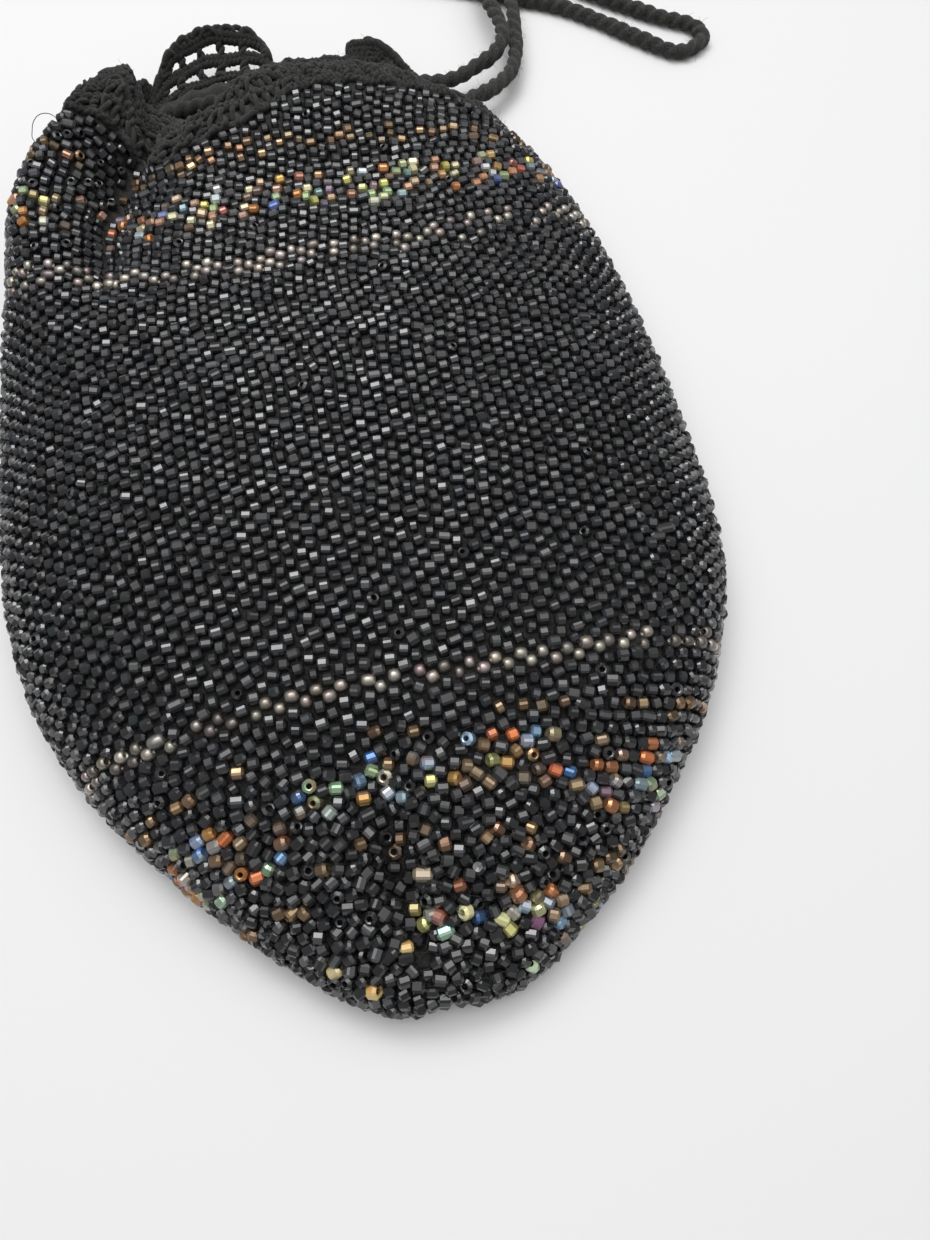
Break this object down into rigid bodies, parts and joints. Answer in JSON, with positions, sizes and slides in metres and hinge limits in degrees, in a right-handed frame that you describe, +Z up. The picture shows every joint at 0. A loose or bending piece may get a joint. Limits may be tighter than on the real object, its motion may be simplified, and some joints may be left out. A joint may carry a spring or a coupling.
{
  "type": "beaded drawstring reticule",
  "caption": "Crocheted drawstring pouch covered in black glass beads, lying on its back, with a gathered heading, scalloped lace edge and doubled cord loop.",
  "frame": {"origin": "centre of the bag's box, at the level of the surface that it lies on", "axes": "+Y from the pouch's tip to its mouth, +X to the right of someone facing the front, +Z up out of the front"},
  "size_m": [0.1593, 0.254, 0.024],
  "materials": {
    "beadwork": "faceted black glass beads on black crochet, with bands of silver, bronze and iris beads",
    "crochet": "matte black crocheted thread",
    "cord": "soft twisted black cord"
  },
  "bodies": {
    "root": {"pouch": "beadwork", "heading": "crochet", "lace_edge": "crochet", "drawstring_run": "cord", "drawstring_loop": "cord"}
  },
  "joints": []
}
